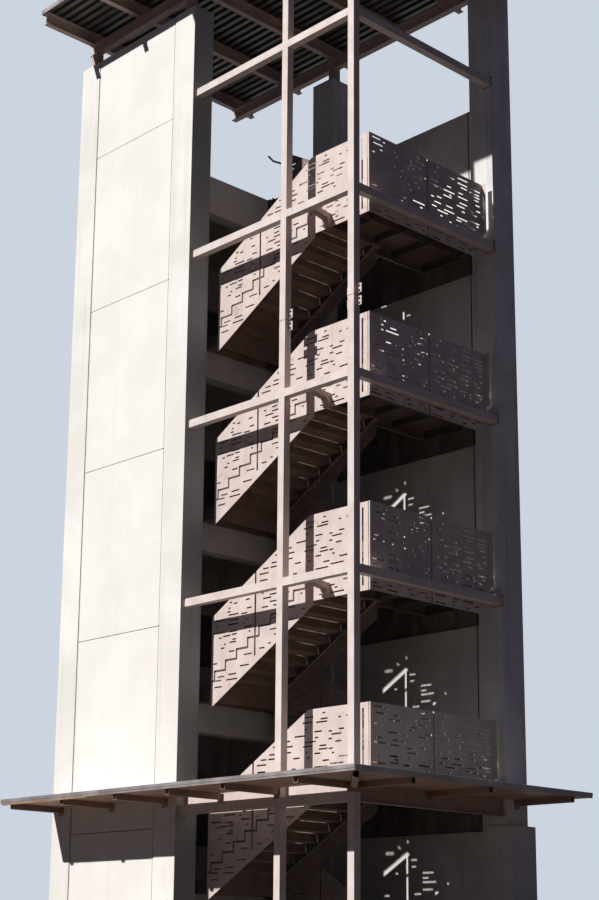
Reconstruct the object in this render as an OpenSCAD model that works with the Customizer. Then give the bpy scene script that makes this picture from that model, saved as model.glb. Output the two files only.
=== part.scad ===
// Fire escape stair tower: a concrete frame with a tall front pylon, and beside it a steel
// stair of two flights a storey behind slotted plate guards, under a flat ribbed roof.
// Lengths are in millimetres. X runs along the front, Y back from it, Z up.
// The origin is the foot of the slender corner post.

/* [Storeys and stairs] */
// Height from one stair landing to the next above it
storey_h = 3556; // [3000:2:3900]
// Risers in one flight, which climbs half a storey
flight_risers = 10; // [9:1:11]
// Going of one tread
going = 305; // [260:1:330]
// Gap between the back flights and the rear columns
flight_gap = 10; // [5:1:60]
// Width of the well between the flights
well_w = 44; // [30:2:120]
// Depth of a stringer, measured square to its slope
stringer_d = 254; // [200:2:300]
// Flange width of a stringer or a landing channel
flange_w = 60; // [40:1:80]
// Plate thickness of stringers and landing channels
channel_t = 8; // [5:1:12]
// Plate thickness of the folded tread pans
pan_t = 6; // [4:1:8]
// Overhang of a nosing over the riser below it
nosing = 38; // [20:1:45]
// Slit between a riser and the tread above it
tread_slit = 9; // [4:1:14]
// Slit between the ends of a riser and the stringers
riser_end = 12; // [6:1:20]
// Reach of a stringer above the line of the nosings
stringer_over = 45; // [35:5:60]

/* [Slender frame] */
// Width of the square tube of posts and front beams
post_w = 152; // [120:2:180]
// Wall of the posts and front beams
post_wall = 8; // [5:1:12]
// Distance from the corner post to the middle post, centre to centre
mid_post_x = 1770; // [1500:10:1900]
// Width of the square base plates of the posts
base_w = 280; // [220:10:340]
// Thickness of the base plates
base_t = 20; // [12:1:30]
// Height of the bolted splice of the posts
splice_z = 11895; // [11000:5:12500]
// Width of the splice lugs
lug_w = 100; // [60:5:120]
// Height of one splice lug
lug_h = 170; // [120:5:220]
// Thickness of the splice lugs
lug_t = 12; // [8:1:16]
// Gap between the upper and the lower lugs
lug_gap = 70; // [60:5:140]
// Distance of the lugs behind the middle of the post
lug_back = 22; // [0:2:50]
// Distance of a beam top below the landing that it carries
beam_drop = 130; // [80:5:200]
// Distance of the lowest front beam's top below the first landing
first_beam_drop = 470; // [400:5:520]

/* [Guards] */
// Thickness of the slotted guard plate
guard_t = 6; // [4:1:10]
// Distance from the post centres back to the front guard
guard_set = 504; // [450:2:600]
// Height of a landing guard above the floor
guard_h = 1107; // [1000:1:1200]
// Reach of a landing guard below the floor
guard_skirt = 495; // [400:5:560]
// Height of a flight guard above the lower floor, at its low end
flight_guard_h = 1350; // [1200:5:1500]
// Reach of a flight guard below the lower floor, at its low end
flight_skirt = 390; // [300:5:450]
// Width of the folded edge of a guard plate
guard_fold = 45; // [30:1:60]
// Width of the side guard's fold that faces the front
corner_fold = 31; // [20:1:50]
// Width of the side guard's flange beside the right column
closer_w = 104; // [60:2:140]
// Width of the joints between guard plates
guard_gap = 14; // [8:1:30]
// Width of the recessed joint between the two side plates of a landing
side_joint = 35; // [20:1:60]
// Depth of that joint behind the plates
joint_back = 40; // [30:1:60]
// Width of the cuts in a guard plate
cut_w = 40; // [30:1:45]
// Distance of the upright cut of a flight guard from its low end
cut_x = 1190; // [900:10:1500]
// Distance that this cut stops above the plate's lower edge
cut_stop = 170; // [120:5:300]
// Height of the stepped cut above the lower floor at its start
step_cut_z = 100; // [60:5:160]
// Distance of the first step of that cut from the plate's low end
step_cut_x = 80; // [60:5:120]
// Bridge left between the stepped cut and the ends of the plate
cut_bridge = 28; // [20:1:60]
// Distance of the landing guard's upright cut from the corner
corner_cut_x = 195; // [150:5:260]
// Bridge left above and below that cut
corner_cut_end = 95; // [60:5:160]
// Height of one slot in a guard plate
slot_h = 22; // [14:1:30]
// Spacing of the rows of slots
slot_row = 104; // [100:1:130]
// Spacing of the slots along a row
slot_step = 390; // [390:5:440]
// Length of the shortest slot
slot_min = 50; // [30:1:80]
// Length of the longest slot
slot_max = 340; // [200:5:340]
// Least distance between slots, and from a slot to an edge
slot_web = 36; // [25:1:50]
// Share of the places in a row that hold a slot
slot_share = 0.72; // [0.4:0.01:1]
// Gap between the side beam and the side guard, taken up by spacers
side_gap = 18; // [12:1:30]
// Size of the square spacers between the side beam and the side guard
spacer_w = 100; // [60:5:140]
// Distance of the end spacers from the ends of the side guard
spacer_in = 300; // [200:10:500]
// Width of the kinked arms between the front beams and the landing guards
arm_w = 152; // [100:2:180]
// Depth of the arms where they leave the beam
arm_d = 110; // [80:5:140]
// Distance of the arms from the inner edge of the landing
arm_x = 270; // [200:10:500]
// Distance in front of the guard where an arm bends down
arm_knee = 105; // [70:5:160]
// Drop of an arm from the beam to its bend
arm_fall = 58; // [30:2:90]

/* [Landings and rails] */
// Depth of a landing, from the top riser to its outer edge
landing_w = 1390; // [1200:10:1500]
// Gap between a landing and the front of the rear columns
landing_gap = 140; // [100:5:200]
// Thickness of the landing deck
deck_t = 50; // [40:1:60]
// Depth of the channels round a landing
landing_channel = 254; // [200:2:300]
// Height of the cross joists' underside above the channels' underside
joist_up = 60; // [30:5:90]
// Depth of the threshold between the building floor and the flights
threshold_d = 388; // [350:2:460]
// Diameter of a handrail
rail_d = 42; // [34:1:50]
// Height of a handrail above the nosings
rail_h = 905; // [850:5:950]
// Distance of a handrail from the well guard, plate to centre
rail_off = 75; // [60:1:100]
// Diameter of the handrail brackets
bracket_d = 14; // [10:1:20]
// Reach of a handrail past the ends of the flight, along X
rail_past = 60; // [40:5:90]
// Length of the turned-up end of a handrail
rail_up = 160; // [100:5:180]

/* [Concrete frame] */
// Width of a concrete column along the front
column_w = 610; // [500:5:700]
// Depth of a pylon column
pylon_d = 510; // [450:5:600]
// Distance that the pylon stands in front of the post centres
pylon_front = 156; // [100:2:200]
// Width of the pylon's panels between its columns
panel_w = 2600; // [2200:10:2900]
// Thickness of the pylon's panels
panel_t = 200; // [150:5:250]
// Distance that the panels are set back from the pylon's face
panel_set = 15; // [5:1:30]
// Width of the open joints of the panels
joint_w = 14; // [8:1:20]
// Distance from the post centres back to the rear columns
rear_y = 3884; // [3800:2:4100]
// Depth of a rear column
rear_d = 610; // [500:5:700]
// Distance of the rear middle column's top below the pylon's top
rear_drop = 100; // [50:5:200]
// Width of the right column along the front
right_col_w = 560; // [500:5:600]
// Height of the pier at the foot of the right column
pier_h = 2760; // [2600:10:2850]
// Width of that pier along the front
pier_w = 640; // [580:5:700]
// Reach of that pier past the right column's outer face
pier_over = 174; // [100:2:220]
// Reach of that pier in front of the right column
pier_proud = 40; // [20:2:80]
// Thickness of a spandrel wall
wall_t = 200; // [150:5:250]
// Distance that a spandrel wall is set back from the column face
wall_set = 96; // [40:2:150]
// Height of a spandrel top above the building floor
sill_h = 1200; // [1000:10:1300]
// Height of a spandrel wall
spandrel_h = 2400; // [2200:10:2600]
// Height of the lowest wall and of the lowest joint of the panels
ground_sill = 2690; // [2500:10:2900]
// Thickness of the dark panels in the window openings
window_t = 40; // [20:5:60]
// Thickness of a building floor slab
slab_t = 200; // [150:5:250]
// Depth of the beam at the stair side of a floor slab
edge_beam_h = 800; // [600:10:900]
// Width of the beam at the stair side of a floor slab
edge_beam_w = 300; // [250:5:350]
// Set-back of that beam from the pylon's stair side
edge_beam_set = 220; // [150:5:250]
// Height of the corbels under the ends of that beam
corbel_h = 250; // [200:5:300]
// Reach of the corbels from the column
corbel_reach = 180; // [120:5:240]

/* [Roof] */
// Height of the stub posts on the pylon
stub_h = 342; // [250:2:450]
// Width of the square stub posts
stub_w = 180; // [120:5:200]
// Depth of the roof beams along the front and the rear
roof_beam_h = 265; // [220:5:300]
// Flange width of the roof beams
roof_beam_w = 150; // [120:5:180]
// Distance from the rear columns' front face back to the rear roof beam
rear_beam_y = 366; // [300:2:420]
// Depth of the purlins that cross them
purlin_h = 280; // [240:5:300]
// Flange width of the purlins
purlin_w = 130; // [100:5:150]
// Spacing of the purlins
purlin_step = 1650; // [1500:10:1700]
// Flange thickness of roof beams and purlins
flange_t = 14; // [8:1:20]
// Web thickness of roof beams and purlins
web_t = 9; // [6:1:14]
// Distance of the first purlin from the pylon's left side
purlin_in = 185; // [120:5:260]
// Overhang of the purlins in front of the post centres
roof_front = 1350; // [1200:10:1500]
// Reach of the purlins behind the rear roof beam
roof_rear = 560; // [400:10:700]
// Overhang of the roof deck past the outer purlins
deck_side = 70; // [40:5:120]
// Overhang of the roof deck past the ends of the purlins
deck_end = 30; // [10:5:60]
// Height of the ribs of the roof deck
rib_h = 75; // [50:1:90]
// Spacing of the ribs of the roof deck
rib_step = 200; // [150:5:250]
// Sheet thickness of the roof deck
sheet_t = 6; // [3:1:8]

/* [Canopy] */
// Top of the canopy plate above the ground
canopy_z = 3325; // [3290:5:3360]
// Thickness of the canopy's edge
canopy_t = 85; // [60:5:95]
// Overhang of the canopy in front of the post centres
canopy_front = 1400; // [1100:10:1500]
// Overhang of the canopy to the right of the post centres
canopy_right = 1380; // [1100:10:1500]
// Reach of the canopy behind the right column's rear face
canopy_rear = 206; // [100:2:400]
// Width of the canopy's hollow outriggers
outrigger_w = 100; // [80:2:120]
// Depth of the outriggers
outrigger_h = 110; // [90:2:120]
// Wall of the outriggers
outrigger_wall = 7; // [5:1:10]
// Distance of the outriggers' outer ends from the canopy's edge
outrigger_in = 50; // [30:5:150]
// Width of the outriggers' end plates
end_plate_w = 150; // [130:2:200]
// Height of the outriggers' end plates
end_plate_h = 170; // [150:5:220]
// Thickness of the outriggers' end plates
end_plate_t = 12; // [8:1:16]
// Underside of the deep beam between the corner post and the right column
side_beam_z = 2925; // [2900:5:2980]

/* [Hidden] */
levels = 5;
// Clearance between pieces that bear on each other
fit = 0.3;
// Overlap of the pieces of one solid, and reach of a cut past a face
tiny = 1;

riser = storey_h / 2 / flight_risers;
flight_h = storey_h / 2;
flight_run = going * (flight_risers - 1);
climb = riser / going;
slope = atan(climb);

guard_x1 = -post_w / 2 - side_gap;
landing_x1 = guard_x1 - guard_t - fit;
flight_x1 = landing_x1 - landing_w;
flight_x0 = flight_x1 - flight_run;
front_y0 = guard_set + guard_t + fit;
flight_full = (rear_y - flight_gap - front_y0 - well_w) / 2;
flight_w = flight_full - 2 * channel_t;
front_y1 = front_y0 + flight_full;
back_y0 = front_y1 + well_w;
back_y1 = back_y0 + flight_full;
landing_y1 = rear_y - landing_gap;
back_x1 = flight_x1 - going;
back_x0 = flight_x0 - going;

floor_x1 = flight_x0 - threshold_d;
pylon_x1 = floor_x1 + edge_beam_set;
pylon_mid_x1 = pylon_x1 - column_w;
pylon_mid_x0 = pylon_mid_x1 - panel_w;
pylon_x0 = pylon_mid_x0 - column_w;
wall_y = rear_y + wall_set;
right_col_x1 = post_w / 2;
right_col_x0 = right_col_x1 - right_col_w;

function landing_z(i) = i * storey_h;
function lobby_z(i) = (i - 0.5) * storey_h;
function sill_z(i) = i == 1 ? ground_sill : lobby_z(i) + sill_h;

pylon_h = lobby_z(levels + 1);
rear_top = pylon_h - rear_drop;
roof_z = pylon_h + stub_h;
purlin_z = roof_z + roof_beam_h + fit;
deck_z = purlin_z + purlin_h + fit;
rear_beam_mid = rear_y + rear_beam_y;
canopy_low = canopy_z - canopy_t;
outrigger_z = canopy_low - fit - outrigger_h;

steel = "#a58f88";
steel_dark = "#6b5a58";
concrete = "#cfccc6";
zinc = "#8d9296";
glass = "#2b2e31";

// A square tube from the origin up, centred on Z
module square_tube(w, wall, h) {
    difference() {
        translate([-w / 2, -w / 2, 0]) cube([w, w, h]);
        translate([-w / 2 + wall, -w / 2 + wall, -tiny]) cube([w - 2 * wall, w - 2 * wall, h + 2 * tiny]);
    }
}

// An I-section along +X from the origin, centred on Y and standing on Z = 0
module i_beam(length, h, w) {
    rotate([90, 0, 90]) linear_extrude(length)
        polygon([
            [-w / 2, 0], [w / 2, 0], [w / 2, flange_t], [web_t / 2, flange_t],
            [web_t / 2, h - flange_t], [w / 2, h - flange_t], [w / 2, h], [-w / 2, h],
            [-w / 2, h - flange_t], [-web_t / 2, h - flange_t], [-web_t / 2, flange_t], [-w / 2, flange_t]]);
}

// Profile in the XZ plane pushed back along +Y
module push_back(depth) {
    rotate([90, 0, 0]) mirror([0, 0, 1]) linear_extrude(depth) children();
}

// Square post on its base plate, with two pairs of lugs at its splice
module post(x) {
    color(steel) translate([x, 0, 0]) union() {
        translate([-base_w / 2, -base_w / 2, 0]) cube([base_w, base_w, base_t]);
        translate([0, 0, base_t - tiny]) square_tube(post_w, post_wall, roof_z - fit - base_t + tiny);
        for (side = [-1, 1], z = [splice_z - lug_gap / 2 - lug_h, splice_z + lug_gap / 2])
            translate([side > 0 ? post_w / 2 - tiny : -post_w / 2 - lug_w, lug_back - lug_t / 2, z])
                cube([lug_w + tiny, lug_t, lug_h]);
    }
}

module column(x, y, w, d, h) {
    color(concrete) translate([x, y, 0]) cube([w, d, h]);
}

// Corbels under the ends of the floors' edge beams, beside a column face
module corbels(y, depth) {
    for (i = [1 : levels])
        translate([floor_x1 - edge_beam_w, y, lobby_z(i) - edge_beam_h - corbel_h])
            cube([edge_beam_w, depth, corbel_h - fit]);
}

module pylon_right_column() {
    color(concrete) union() {
        translate([pylon_mid_x1, -pylon_front, 0]) cube([column_w, pylon_d, pylon_h]);
        corbels(-pylon_front + pylon_d - tiny, corbel_reach + tiny);
    }
}

module rear_middle_column() {
    color(concrete) union() {
        translate([pylon_mid_x1, rear_y, 0]) cube([column_w, rear_d, rear_top]);
        corbels(rear_y - corbel_reach, corbel_reach + tiny);
    }
}

// Column that carries the side beams, with a wider pier at its foot
module right_column() {
    color(concrete) union() {
        translate([right_col_x0, rear_y, 0]) cube([right_col_w, rear_d, roof_z - fit]);
        translate([right_col_x1 + pier_over - pier_w, rear_y - pier_proud, 0])
            cube([pier_w, rear_d + pier_proud, pier_h]);
    }
}

module pylon_panels() {
    edges = concat([0], [for (i = [1 : levels]) sill_z(i)], [pylon_h]);
    color(concrete)
        for (i = [0 : levels])
            translate([pylon_mid_x0 + fit, -pylon_front + panel_set, edges[i] + (i > 0 ? joint_w : 0)])
                cube([panel_w - 2 * fit, panel_t, edges[i + 1] - edges[i] - (i > 0 ? joint_w : 0)]);
}

// One wall of spandrels, one above the other, along X from the origin
module spandrels(w) {
    for (i = [1 : levels]) {
        z0 = i == 1 ? 0 : sill_z(i) - spandrel_h;
        translate([0, 0, z0]) cube([w, wall_t, sill_z(i) - z0]);
    }
}

module stair_spandrels() {
    x0 = pylon_x1 + fit;
    color(concrete) translate([x0, wall_y, 0]) difference() {
        spandrels(right_col_x0 - fit - x0);
        translate([right_col_x1 + pier_over - pier_w - fit - x0, -tiny, -tiny])
            cube([pier_w, wall_t + 2 * tiny, pier_h + tiny]);
    }
}

module lobby_rear_spandrels() {
    color(concrete) translate([pylon_mid_x0 + fit, wall_y, 0]) spandrels(panel_w - 2 * fit);
}

module lobby_side_spandrels() {
    y0 = -pylon_front + pylon_d + fit;
    color(concrete)
        translate([pylon_x0 + wall_set + wall_t, y0, 0]) rotate([0, 0, 90]) spandrels(rear_y - fit - y0);
}

// Panels in the openings between one wall of spandrels, along X from the origin
module windows(w) {
    for (i = [1 : levels - 1])
        translate([0, (wall_t - window_t) / 2, sill_z(i) + fit])
            cube([w, window_t, sill_z(i + 1) - spandrel_h - sill_z(i) - 2 * fit]);
}

module stair_windows() {
    x0 = pylon_x1 + fit;
    color(glass) translate([x0, wall_y, 0]) windows(right_col_x0 - fit - x0);
}

module lobby_windows() {
    y0 = -pylon_front + pylon_d + fit;
    color(glass) {
        translate([pylon_mid_x0 + fit, wall_y, 0]) windows(panel_w - 2 * fit);
        translate([pylon_x0 + wall_set + wall_t, y0, 0]) rotate([0, 0, 90]) windows(rear_y - fit - y0);
    }
}

// Floor of the lobby behind the pylon, with the deep beam that the stair lands on
module lobby_floor(i) {
    x0 = pylon_x0 + wall_set + wall_t + fit;
    y0 = -pylon_front + panel_set + panel_t + fit;
    y1 = wall_y - fit;
    col_y0 = -pylon_front + pylon_d + fit;
    beam_y1 = rear_y - fit;
    color(concrete) translate([0, 0, lobby_z(i)]) union() {
        difference() {
            translate([x0, y0, -slab_t]) cube([floor_x1 - x0, y1 - y0, slab_t]);
            for (x = [pylon_x0 - fit, pylon_mid_x1 - fit], y = [y0 - tiny, beam_y1])
                translate([x, y, -slab_t - tiny])
                    cube([column_w + 2 * fit, y == beam_y1 ? y1 - beam_y1 + tiny : col_y0 - y0 + tiny,
                        slab_t + 2 * tiny]);
        }
        translate([floor_x1 - edge_beam_w, col_y0, -edge_beam_h])
            cube([edge_beam_w, beam_y1 - col_y0, edge_beam_h]);
    }
}

// Points of a band that follows a flight from (0, 0) up to (run, rise)
function band(run, rise, low, high) = [[0, low], [run, rise + low], [run, rise + high], [0, high]];

// One channel stringer along +X, its web outside at y = 0 and its flanges towards +Y
module stringer() {
    t = channel_t / cos(slope);
    high = riser + stringer_over;
    low = high - stringer_d / cos(slope);
    difference() {
        push_back(flange_w) translate([fit, fit * climb])
            polygon(band(flight_run - 2 * fit, (flight_run - 2 * fit) * climb, low, high));
        translate([-tiny, channel_t, -tiny * climb]) push_back(flange_w)
            polygon(band(flight_run + 2 * tiny, (flight_run + 2 * tiny) * climb, low + t, high - t));
    }
}

// A flat tread, or the edge of a landing
module tread(depth) {
    translate([-nosing, 0, -pan_t]) cube([depth + nosing, flight_w - 2 * fit, pan_t]);
}

// A riser that stands on z = 0 in front of x = 0 and leans forward, its ends off the stringers
module riser_plate(lean, ends) {
    top = riser - pan_t - tread_slit;
    translate([0, ends, 0]) push_back(flight_w - 2 * fit - 2 * ends)
        polygon([[-pan_t, fit], [0, fit], [pan_t - lean, top], [-lean, top]]);
}

// One flight from (0, 0, 0) up along +X, between y = 0 and its full width
module flight() {
    stringer();
    translate([0, flight_full, 0]) mirror([0, 1, 0]) stringer();
    translate([0, channel_t + fit, 0]) {
        translate([fit + pan_t, 0, 0]) riser_plate(pan_t, 0);
        for (i = [1 : flight_risers])
            translate([(i - 1) * going, 0, i * riser]) {
                tread(i < flight_risers ? going - fit : -fit);
                if (i < flight_risers) translate([going - fit, 0, 0]) riser_plate(nosing - fit, riser_end);
            }
    }
}

// The first nosing is notched for the fold of the guard
module front_flight(i) {
    color(steel_dark) translate([flight_x0, front_y0, lobby_z(i)]) difference() {
        flight();
        translate([-nosing - tiny, 0, 0]) cube([nosing + tiny, guard_fold, riser + tiny]);
    }
}

// The lowest flight stands on the ground
module back_flight(i) {
    color(steel_dark) difference() {
        translate([back_x1, back_y0, landing_z(i - 1)]) mirror([1, 0, 0]) flight();
        if (i == 1)
            translate([back_x0, back_y0 - tiny, -stringer_d])
                cube([flight_run, flight_full + 2 * tiny, stringer_d]);
    }
}

// Outline of a landing, moved inwards by d. It reaches further back and left for the back flight.
function landing_outline(d) = [
    [flight_x1 + d, front_y0 + d], [landing_x1 - d, front_y0 + d], [landing_x1 - d, landing_y1 - d],
    [right_col_x0 - landing_gap - d, landing_y1 - d], [right_col_x0 - landing_gap - d, back_y1 - d],
    [back_x1 + d, back_y1 - d], [back_x1 + d, back_y0 + d], [flight_x1 + d, back_y0 + d]];

// Platform with a channel all round, joists and a flat deck
module landing(i) {
    joist_h = landing_channel - joist_up;
    mid_x = (flight_x1 + landing_x1) / 2;
    color(steel_dark) translate([0, 0, landing_z(i)]) union() {
        translate([0, 0, -deck_t]) linear_extrude(deck_t) polygon(landing_outline(0));
        difference() {
            translate([0, 0, -landing_channel])
                linear_extrude(landing_channel - deck_t + tiny) polygon(landing_outline(0));
            translate([0, 0, -landing_channel + channel_t])
                linear_extrude(landing_channel) polygon(landing_outline(channel_t));
            translate([0, 0, -landing_channel - tiny])
                linear_extrude(landing_channel) polygon(landing_outline(flange_w));
        }
        for (j = [1 : 3]) {
            y = front_y0 + j * (landing_y1 - front_y0) / 4;
            x0 = (y > back_y0 ? back_x1 : flight_x1) + channel_t - tiny;
            translate([x0, y - channel_t / 2, -joist_h])
                cube([landing_x1 - channel_t + tiny - x0, channel_t, joist_h]);
        }
        translate([mid_x - channel_t / 2, front_y0 + channel_t - tiny, -joist_h])
            cube([channel_t, landing_y1 - front_y0 - 2 * channel_t + 2 * tiny, joist_h]);
    }
}

// Outline of the steel between a building floor and its two flights, moved inwards by d. At the
// top there is only a back flight.
function threshold_outline(d, top) = concat(
    top ? [[floor_x1 + fit + d, front_y1 + d], [back_x0 - fit - d, front_y1 + d]] : [
        [floor_x1 + fit + d, front_y0 + d], [flight_x0 - fit - d, front_y0 + d],
        [flight_x0 - fit - d, front_y1 - d], [back_x0 - fit - d, front_y1 - d]],
    [[back_x0 - fit - d, back_y1 - d], [floor_x1 + fit + d, back_y1 - d]]);

module threshold_plates() {
    for (i = [1 : levels])
        color(steel_dark) translate([0, 0, lobby_z(i) - landing_channel]) difference() {
            linear_extrude(landing_channel) polygon(threshold_outline(0, i == levels));
            translate([0, 0, -tiny])
                linear_extrude(landing_channel - channel_t + tiny)
                    polygon(threshold_outline(channel_t, i == levels));
        }
}

// Corners of one slot
function slot_box(x, z, l) = [[x, z], [x + l, z], [x + l, z + slot_h], [x, z + slot_h]];

// Height of the stepped cut above (0, 0) at x, and whether a slot keeps clear of it
function step_z(x) = step_cut_z + riser * floor((x - step_cut_x) / going + 1);
function off_steps(x, z, l) =
    z > step_z(x + l + slot_web) + cut_w + slot_web || z + slot_h < step_z(x - slot_web) - slot_web;

// Slots of a plate from (0, low) that is w wide and h high, with edges that climb by s.
// Their lengths and places follow a seeded draw, so that every storey has the same plates.
function slots(w, low, h, s, seed, cut, stepped = false, ground = -storey_h) =
    let (rows = floor((h - slot_web + s * w) / slot_row), n = floor((w - slot_web) / slot_step))
    [for (r = [0 : rows - 1])
        let (a = rands(0, 1, 4 * n, seed + 17 * r))
        for (k = [0 : n - 1])
            let (l = slot_min + (slot_max - slot_min) * a[4 * k],
                 x = slot_web + k * slot_step + a[4 * k + 1] * (slot_step - slot_web - l),
                 z = low + slot_web + r * slot_row + a[4 * k + 2] * (slot_row - slot_h - slot_web))
            if (a[4 * k + 3] < slot_share
                && z > low + s * (x + l) + slot_web && z + slot_h < low + h + s * x - slot_web
                && z > ground + slot_web && (x > cut + cut_w + slot_web || x + l < cut - slot_web)
                && (!stepped || off_steps(x, z, l)))
                slot_box(x, z, l)];

// A plate in the XZ plane, its thickness towards +Y, holed by the given outlines
module slotted_plate(outline, holes) {
    pts = concat(outline, [for (h = holes) for (p = h) p]);
    counts = concat([len(outline)], [for (h = holes) len(h)]);
    starts = [for (i = 0, s = 0; i < len(counts); s = s + counts[i], i = i + 1) s];
    push_back(guard_t)
        polygon(pts, [for (i = [0 : len(counts) - 1]) [for (j = [0 : counts[i] - 1]) starts[i] + j]]);
}

// Stepped cut of a flight guard, from near its low end to near x = w
module stepped_cut(w) {
    n = floor((w - cut_bridge - step_cut_x) / going);
    function at(k) = step_cut_z + (k + 1) * riser;
    function x(k) = step_cut_x + k * going;
    polygon(concat(
        [[cut_bridge, at(-1)], [cut_bridge, at(-1) + cut_w]],
        [for (k = [0 : n]) for (p = [[x(k), at(k - 1) + cut_w], [x(k), at(k) + cut_w]]) p],
        [[w - cut_bridge, at(n) + cut_w], [w - cut_bridge, at(n)]],
        [for (k = [n : -1 : 0]) for (p = [[x(k) + cut_w, at(k)], [x(k) + cut_w, at(k - 1)]]) p]));
}

// Sloped plate beside a flight, with its stepped cut and its upright cut. At the ground it stops
// level with the floor, and beside the building floors its low end is folded.
module flight_guard(w, at_ground = false, folded = false) {
    h = flight_guard_h + flight_skirt;
    top = flight_h + guard_h;
    level_x = (top - flight_guard_h) / climb;
    union() {
        difference() {
            slotted_plate(
                concat(
                    at_ground ? [[0, 0], [flight_skirt / climb, 0]] : [[0, -flight_skirt]],
                    [[w, w * climb - flight_skirt]],
                    level_x < w ? [[w, top], [level_x, top]] : [[w, flight_guard_h + w * climb]],
                    [[0, flight_guard_h]]),
                slots(w, -flight_skirt, h, climb, 11, cut_x, true, at_ground ? 0 : -storey_h));
            translate([0, -tiny, 0]) push_back(guard_t + 2 * tiny) stepped_cut(w);
            translate([cut_x, -tiny, cut_x * climb - flight_skirt + cut_stop])
                cube([cut_w, guard_t + 2 * tiny, h]);
        }
        if (folded) translate([0, 0, fit]) cube([guard_t, guard_fold, flight_guard_h - fit]);
    }
}

// Level plate of a landing, w wide from its folded end
module landing_guard(w) {
    h = guard_h + guard_skirt;
    cut = w + corner_fold + guard_gap - corner_cut_x;
    union() {
        slotted_plate(
            [[0, -guard_skirt], [w, -guard_skirt], [w, guard_h], [0, guard_h]],
            concat(
                slots(w, -guard_skirt, h, 0, 51, cut),
                [[[cut, -guard_skirt + corner_cut_end], [cut + cut_w, -guard_skirt + corner_cut_end],
                  [cut + cut_w, guard_h - corner_cut_end], [cut, guard_h - corner_cut_end]]]));
        translate([0, 0, fit]) cube([guard_t, guard_fold, guard_h - fit]);
    }
}

flight_guard_w = flight_run + guard_t + fit - guard_gap;

module front_guard(i) {
    x0 = flight_x0 - guard_t - fit;
    x1 = guard_x1 - corner_fold - guard_gap;
    color(steel) {
        translate([x0, guard_set, lobby_z(i)]) flight_guard(flight_guard_w, folded = true);
        translate([flight_x1, guard_set, landing_z(i)]) landing_guard(x1 - flight_x1);
    }
}

// One of the two plates beside a landing, w long and flat on X = 0
module side_plate(w, seed) {
    rotate([0, 0, 90])
        slotted_plate(
            [[0, -guard_skirt], [w, -guard_skirt], [w, guard_h], [0, guard_h]],
            slots(w, -guard_skirt, guard_h + guard_skirt, 0, seed, 2 * w));
}

// Two plates along the outer edge of a landing, folded at the corner and flanged at the rear.
// Both are folded back where they meet, and a strip on the first closes the joint.
module side_guard(i) {
    w = (landing_y1 - guard_set - side_joint) / 2;
    color(steel) {
        translate([guard_x1, guard_set, landing_z(i)]) union() {
            side_plate(w, 71);
            translate([-corner_fold, 0, -guard_skirt]) cube([corner_fold, guard_t, guard_h + guard_skirt]);
            translate([-guard_t - joint_back, w - guard_t, fit]) {
                cube([guard_t + joint_back, guard_t, guard_h - fit]);
                cube([guard_t, side_joint + 2 * guard_t, guard_h - fit]);
            }
        }
        translate([guard_x1, landing_y1 - w, landing_z(i)]) union() {
            side_plate(w, 91);
            translate([fit - joint_back, 0, fit]) cube([joint_back - fit, guard_t, guard_h - fit]);
            translate([-guard_t, w - guard_t, 0]) cube([closer_w, guard_t, guard_h]);
        }
    }
}

// The same plates on the well side of every flight. Those of the back flights end a tread early.
module front_well_guards() {
    color(steel)
        for (i = [1 : levels - 1])
            translate([flight_x0 - guard_t - fit, front_y1 + fit, lobby_z(i)]) flight_guard(flight_guard_w);
}

module back_well_guards() {
    color(steel)
        for (i = [1 : levels])
            translate([back_x1 + guard_t + fit, back_y0 - fit, landing_z(i - 1)]) rotate([0, 0, 180])
                flight_guard(flight_guard_w - going, at_ground = i == 1);
}

// A round bar between two points
module bar(a, b, d) {
    v = b - a;
    translate(a) rotate([0, acos(v[2] / norm(v)), atan2(v[1], v[0])]) cylinder(d = d, h = norm(v), $fn = 24);
}

// A handrail on brackets from a well guard at y = 0, turned up at its top end
module flight_rail() {
    function at(x, y) = [x, y, riser + rail_h + x * climb];
    top = at(flight_run + rail_past, -rail_off);
    union() {
        bar(at(-rail_past, -rail_off), top, rail_d);
        translate(top) sphere(d = 1.1 * rail_d, $fn = 24);
        bar(top, top + [0.9 * rail_up, 0, rail_up], rail_d);
        for (x = [0.1, 0.45, 0.8] * flight_run) bar(at(x, -rail_off), at(x, 0), bracket_d);
    }
}

module inner_rails() {
    color(steel_dark) for (i = [1 : levels]) {
        if (i < levels)
            translate([flight_x0, front_y1, lobby_z(i)]) flight_rail();
        translate([back_x1, back_y0, landing_z(i - 1)]) rotate([0, 0, 180]) flight_rail();
    }
}

// Front tubes of one level, and from the second level up the side tube with its spacers
module frame_beams(i) {
    drop = i == 1 ? first_beam_drop : beam_drop;
    color(steel) translate([0, 0, landing_z(i) - drop - post_w / 2]) {
        translate([-post_w / 2 - fit, 0, 0]) rotate([0, -90, 0])
            square_tube(post_w, post_wall, mid_post_x - post_w - 2 * fit);
        translate([-mid_post_x - post_w / 2 - fit, 0, 0]) rotate([0, -90, 0])
            square_tube(post_w, post_wall, -pylon_x1 - mid_post_x - post_w / 2 - 2 * fit);
        if (i > 1) union() {
            translate([0, post_w / 2 + fit, 0]) rotate([-90, 0, 0])
                square_tube(post_w, post_wall, rear_y - post_w / 2 - 2 * fit);
            if (i < levels)
                for (y = [guard_set + spacer_in, (guard_set + landing_y1) / 2 - spacer_in, landing_y1 - spacer_in])
                    translate([guard_x1 + fit, y - spacer_w / 2, -spacer_w / 2])
                        cube([side_gap - fit + tiny, spacer_w, spacer_w]);
        }
    }
}

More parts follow.
